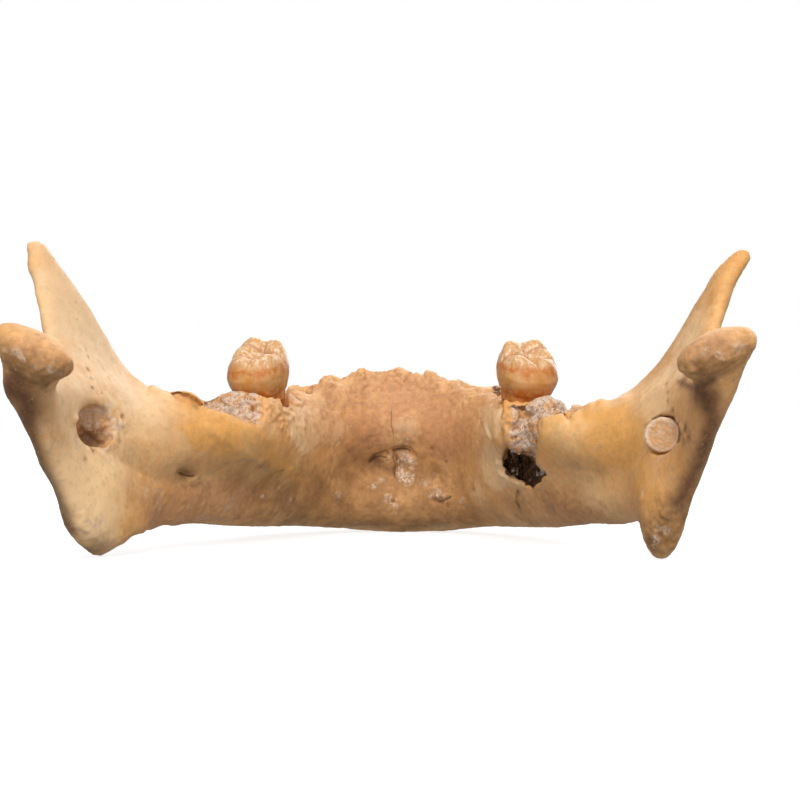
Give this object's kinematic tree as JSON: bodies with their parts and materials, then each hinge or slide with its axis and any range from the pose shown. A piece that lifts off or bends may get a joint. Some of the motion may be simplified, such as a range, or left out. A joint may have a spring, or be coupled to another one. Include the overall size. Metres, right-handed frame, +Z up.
{
  "type": "human mandible",
  "caption": "Dry human lower jaw bone of a young person with both first molars in place, empty sockets, a broken hole in the tongue-side wall and a filled canal mouth.",
  "frame": {"origin": "on the standing plane, under the centre of the bounding box", "axes": "+X to the bone's own right, +Y forward to the chin, +Z up"},
  "size_m": [0.1112, 0.097, 0.049],
  "materials": {
    "bone": "satin",
    "enamel": "glossy",
    "filling": "matte"
  },
  "bodies": {
    "root": {"mandible": "bone", "molar_left": "enamel", "molar_right": "enamel", "foramen_plug": "filling"}
  },
  "joints": []
}
